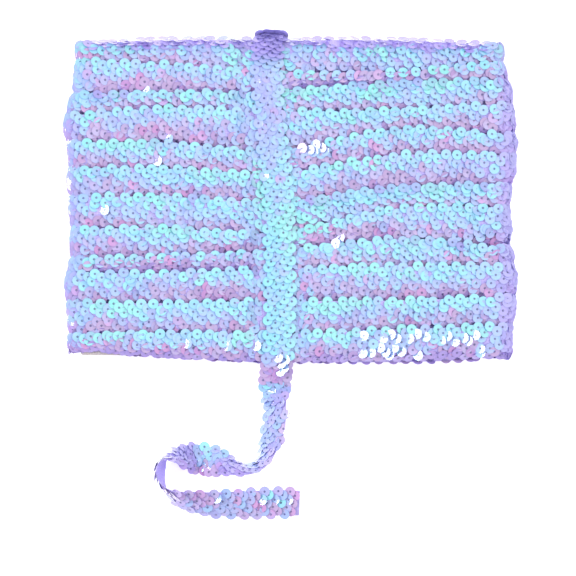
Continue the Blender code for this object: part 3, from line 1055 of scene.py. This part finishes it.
def sequin_material():
    """Pearly plastic film, whose colour turns from aqua through blue to lilac and mauve as it tips. That
    turn is painted reflection: the film's iridescent sheen is painted into the base colour from each
    sequin's tilt and the surface's normal.
    """
    n = Nodes("iridescent_sequin")
    place = n.place()
    turned = n.add("ShaderNodeSeparateXYZ")
    n.link(n.add("ShaderNodeNewGeometry").outputs["Normal"], turned.inputs[0])
    tone, lean, steep, ring = (
        n.add("ShaderNodeAttribute", attribute_name=name).outputs["Fac"]
        for name in ("tone", "lean", "steep", "ring")
    )
    patch = n.noise(place, 28.0)
    lean = n.math("MULTIPLY_ADD", n.math("SUBTRACT", patch, 0.5), 0.25, lean)
    cloud = n.noise(place, 330.0, detail=1.0)
    lean = n.math("MULTIPLY_ADD", n.math("SUBTRACT", cloud, 0.5), 0.22, lean)
    # Painted reflection: the colour also turns with the surface's normal, as the film's sheen would
    lean = n.math("MULTIPLY_ADD", turned.outputs[1], 0.12, lean)
    sheen = n.ramp(n.math("MULTIPLY_ADD", lean, 0.5, 0.5), SHEEN_STOPS)
    spread = n.span(n.noise(place, 48.0), 0.50, 0.60)
    mint = n.math("MULTIPLY", spread, n.span(lean, 0.08, 0.25))
    sheen = n.blend(n.math("MULTIPLY", mint, 0.5), sheen, (0.57, 0.92, 0.83))
    pink = n.math("MULTIPLY", n.span(tone, -0.7, -1.7), n.span(lean, 0.0, -0.2))
    sheen = n.blend(n.math("MULTIPLY", pink, 0.65), sheen, (0.85, 0.57, 0.83))
    # Painted reflection: steeply tipped sequins and the lilac places show the film's lilac sheen
    sheen = n.blend(n.math("MULTIPLY", steep, 0.85), sheen, (0.70, 0.62, 0.92))
    speck = n.span(n.noise(place, 1400.0), 0.35, 0.65, 0.0, 0.10)
    sheen = n.blend(speck, sheen, (0.55, 0.55, 0.75))
    # Painted shade: a darker outline at each sequin's rim, where shadow would part it from the next
    edge = n.span(ring, 0.92, 1.0)
    sheen = n.blend(n.math("MULTIPLY", edge, 0.18), sheen, (0.45, 0.46, 0.75))
    # Painted shadow: a dark spot in and round the sewing hole, where the thread goes down into shade
    hole = n.span(ring, 0.26, 0.18)
    sheen = n.blend(n.math("MULTIPLY", hole, 0.8), sheen, (0.22, 0.25, 0.48))
    n.base(sheen)
    n.set("Roughness", 0.35)
    n.set("Specular IOR Level", 0.3)
    n.set("Coat Weight", 1.0)
    n.set("Coat Roughness", 0.04)
    return n.material


def tape_material():
    """Lilac knitted tape, with fine ribs along its length."""
    n = Nodes("knitted_tape")
    place = n.add("ShaderNodeUVMap", uv_map="tape")
    split = n.add("ShaderNodeSeparateXYZ")
    n.link(place.outputs[0], split.inputs[0])
    ribs = n.math("SINE", n.math("MULTIPLY", split.outputs[1], 2 * math.pi * 18))
    loops = n.math("SINE", n.math("MULTIPLY", split.outputs[0], 2 * math.pi / 0.0009))
    height = n.math("ADD", ribs, n.math("MULTIPLY", loops, 0.6))
    # Painted shade: the tape is darker in the valleys between its ribs and loops
    shade = n.span(height, -1.2, 1.4)
    colour = n.blend(shade, (0.72, 0.67, 0.96), (0.84, 0.79, 1.0))
    n.base(colour)
    n.set("Roughness", 0.75)
    n.bump(height, 0.5, 0.0002)
    return n.material


def thread_material():
    """Pale lilac sewing thread."""
    n = Nodes("lilac_thread")
    place = n.place()
    twist = n.noise(place, 4000.0)
    colour = n.blend(twist, (0.62, 0.58, 0.84), (0.80, 0.78, 0.95))
    n.base(colour)
    n.set("Roughness", 0.5)
    return n.material


def card_material():
    """Uncoated greyboard, with flecks of fibre and a soft cloudy tone."""
    n = Nodes("greyboard")
    place = n.place()
    fleck = n.noise(place, 900.0, detail=4.0)
    cloud = n.noise(place, 60.0)
    colour = n.blend(n.span(fleck, 0.35, 0.7), (0.72, 0.68, 0.68), (0.86, 0.83, 0.82))
    colour = n.blend(n.math("MULTIPLY", cloud, 0.3), colour, (0.80, 0.76, 0.80))
    n.base(colour)
    n.set("Roughness", 0.9)
    n.bump(fleck, 0.3, 0.0002)
    return n.material


def floor_material():
    n = Nodes("white_paper")
    place = n.place()
    grain = n.noise(place, 300.0)
    n.base(n.blend(grain, (0.985, 0.985, 0.985), (1.0, 1.0, 1.0)))
    n.set("Roughness", 0.95)
    n.set("Specular IOR Level", 0.1)
    n.set("Emission Color", (1.0, 1.0, 1.0, 1.0))
    n.set("Emission Strength", 0.5)
    return n.material


def dress(obj, material):
    obj.data.materials.clear()
    obj.data.materials.append(bpy.data.materials[material])
    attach(obj, "root")


def sequins_at(name, sequin, seats):
    """One joined mesh of the sequins at these seats, shaded smooth, with edges kept sharp where faces meet
    at more than ten degrees.
    """
    sequins = joined(name, sequin, seats)
    sequins.data.shade_smooth()
    sequins.data.set_sharp_from_angle(angle=math.radians(10))
    dress(sequins, "iridescent_sequin")
    return sequins


def sewn(name, sequin, stitch, seats):
    """The sequins at these seats, and the stitches that hold them."""
    sequins = sequins_at(f"{name}_sequins", sequin, seats)
    stitches = joined(f"{name}_stitches", stitch, seats)
    dress(stitches, "lilac_thread")
    return [sequins, stitches]


def length(name, description, default):
    """A size in metres that a user can change."""
    return bpy.props.FloatProperty(name=name, description=description, default=default, unit="LENGTH")


class TrimLook(bpy.types.PropertyGroup):
    sequin_diameter: length("Sequin diameter", "Across one sequin", 0.006)
    rim_width: length("Rim width", "Width of the raised rim", 0.0012)
    cup_depth: length("Cup depth", "How far the rim stands up", 0.00009)
    hole_diameter: length("Hole diameter", "Across the sewing hole", 0.0008)
    sequin_thickness: length("Film thickness", "Thickness of a sequin", 0.0001)
    sequin_pitch: length("Sequin pitch", "From one sequin to the next", 0.0074)
    scale_raise: bpy.props.FloatProperty(
        name="Leading edge", description="Degrees the leading edge is raised", default=11.0
    )
    side_raise: bpy.props.FloatProperty(
        name="Lower edge", description="Degrees the lower edge is raised", default=6.0
    )
    unevenness: bpy.props.FloatProperty(
        name="Unevenness", description="How unevenly sequins tip, in degrees", default=5.0
    )
    thread_width: length("Thread width", "Width of a stitch", 0.00016)
    tape_width: length("Tape width", "Width of the knitted tape", 0.014)
    tape_thickness: length("Tape thickness", "Thickness of the tape", 0.0005)
    tape_step: length("Tape step", "Length of one face along the tape", 0.005)


class TRIM_OT_card(bpy.types.Operator):
    """Gives the card its greyboard"""

    bl_idname = "trim.card"
    bl_label = "Card"

    def execute(self, context):
        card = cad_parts["card"]
        card.data.materials.clear()
        card.data.materials.append(card_material())
        return {"FINISHED"}


class TRIM_OT_wound_trim(bpy.types.Operator):
    """Makes the wound tape with all its sequins and stitches"""

    bl_idname = "trim.wound_trim"
    bl_label = "Wound trim"

    def execute(self, context):
        look = context.scene.trim_look
        chance = random.Random(SEED)
        sequin, stitch = model_sequin(look), model_stitch(look)
        for make in (sequin_material, thread_material, tape_material):
            make()
        rows = wound_tape_rows(look, range(-1, LAST), 0.0, TAPE_DEPTH)
        tape, tape_length = tape_mesh("wound_tape", rows, look.tape_thickness)
        dress(tape, "knitted_tape")
        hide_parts("wound_trim")
        rows = wound_tape_rows(look, range(LAST - 1), INNER_TAPE_ACROSS, INNER_TAPE_DEPTH)
        inner, inner_length = tape_mesh("inner_tape", rows, look.tape_thickness)
        dress(inner, "knitted_tape")
        extras = []
        for turn in range(-1, LAST):
            extras += sewn(f"turn_{turn + 1:02d}", sequin, stitch, turn_seats(look, turn, chance))
        extras.append(sequins_at("border_sequins", sequin, border_seats(chance)))
        return {"FINISHED"}


class TRIM_OT_loose_end(bpy.types.Operator):
    """Makes the strap and the loose end with all their sequins and stitches"""

    bl_idname = "trim.loose_end"
    bl_label = "Strap and loose end"

    def execute(self, context):
        look = context.scene.trim_look
        chance = random.Random(SEED + 1)
        line_of_trim = LooseLine()
        seats = loose_seats(look, line_of_trim, chance)
        rows = loose_tape_rows(look, line_of_trim)
        tape, tape_length = tape_mesh("loose_tape", rows, look.tape_thickness)
        dress(tape, "knitted_tape")
        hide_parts("loose_end")
        extras = sewn("loose_end", model_sequin(look), model_stitch(look), seats)
        return {"FINISHED"}


def add_lamp(name, place, size, power):
    """A square soft white lamp, in metres and watts, turned to face the middle of the floor."""
    bpy.ops.object.light_add(type="AREA", location=place)
    lamp = bpy.context.object
    lamp.name = name
    lamp.data.size = size
    lamp.data.energy = power
    lamp.rotation_euler = (-Vector(place)).to_track_quat("-Z", "Y").to_euler()


class TRIM_OT_stage(bpy.types.Operator):
    """Makes the white floor, the soft light and the camera looking straight down"""

    bl_idname = "trim.stage"
    bl_label = "Stage"

    def execute(self, context):
        bpy.ops.object.select_all(action="DESELECT")
        bpy.ops.mesh.primitive_plane_add(size=6.0, location=(0, 0, -0.0002))
        floor = context.object
        floor.name = "floor"
        floor.data.materials.append(floor_material())
        add_lamp("top_soft", (0.9, 0.4, 1.3), 1.6, 12.0)
        add_lamp("small_lamp", LAMP_PLACE, 0.5, 12.0)
        world = bpy.data.worlds.new("studio")
        world.use_nodes = True
        world.node_tree.nodes["Background"].inputs["Color"].default_value = (0.97, 0.98, 1.0, 1.0)
        world.node_tree.nodes["Background"].inputs["Strength"].default_value = 0.70
        context.scene.world = world
        context.scene.view_settings.view_transform = "Standard"
        x, y = (CAMERA_X + SHIFT.x) * MM, (CAMERA_Y + SHIFT.y) * MM
        bpy.ops.object.camera_add(location=(x, y, CAMERA_HEIGHT * MM), rotation=(0, 0, 0))
        camera = context.object
        camera.data.sensor_width = SENSOR_WIDTH
        focus = CAMERA_HEIGHT - CARD_LEVEL - FRONT_HEIGHT
        camera.data.lens = SENSOR_WIDTH * focus / FRAME_WIDTH
        context.scene.camera = camera
        return {"FINISHED"}


class TRIM_PT_panel(bpy.types.Panel):
    """Lists the pieces of the trim"""

    bl_label = "Sequin Trim"
    bl_idname = "TRIM_PT_panel"
    bl_space_type = "VIEW_3D"
    bl_region_type = "UI"
    bl_category = "Sequin Trim"

    def draw(self, context):
        look = context.scene.trim_look
        for name in look.__annotations__:
            self.layout.prop(look, name)
        for operator in OPERATORS:
            self.layout.operator(operator.bl_idname)


OPERATORS = (TRIM_OT_card, TRIM_OT_wound_trim, TRIM_OT_loose_end, TRIM_OT_stage)
CLASSES = (TrimLook, *OPERATORS, TRIM_PT_panel)


def register():
    for cls in CLASSES:
        bpy.utils.register_class(cls)
    bpy.types.Scene.trim_look = bpy.props.PointerProperty(type=TrimLook)


def unregister():
    del bpy.types.Scene.trim_look
    for cls in reversed(CLASSES):
        bpy.utils.unregister_class(cls)


def main():
    register()
    bpy.ops.trim.card()
    bpy.ops.trim.wound_trim()
    bpy.ops.trim.loose_end()
    bpy.ops.trim.stage()


if __name__ == "__main__":
    main()
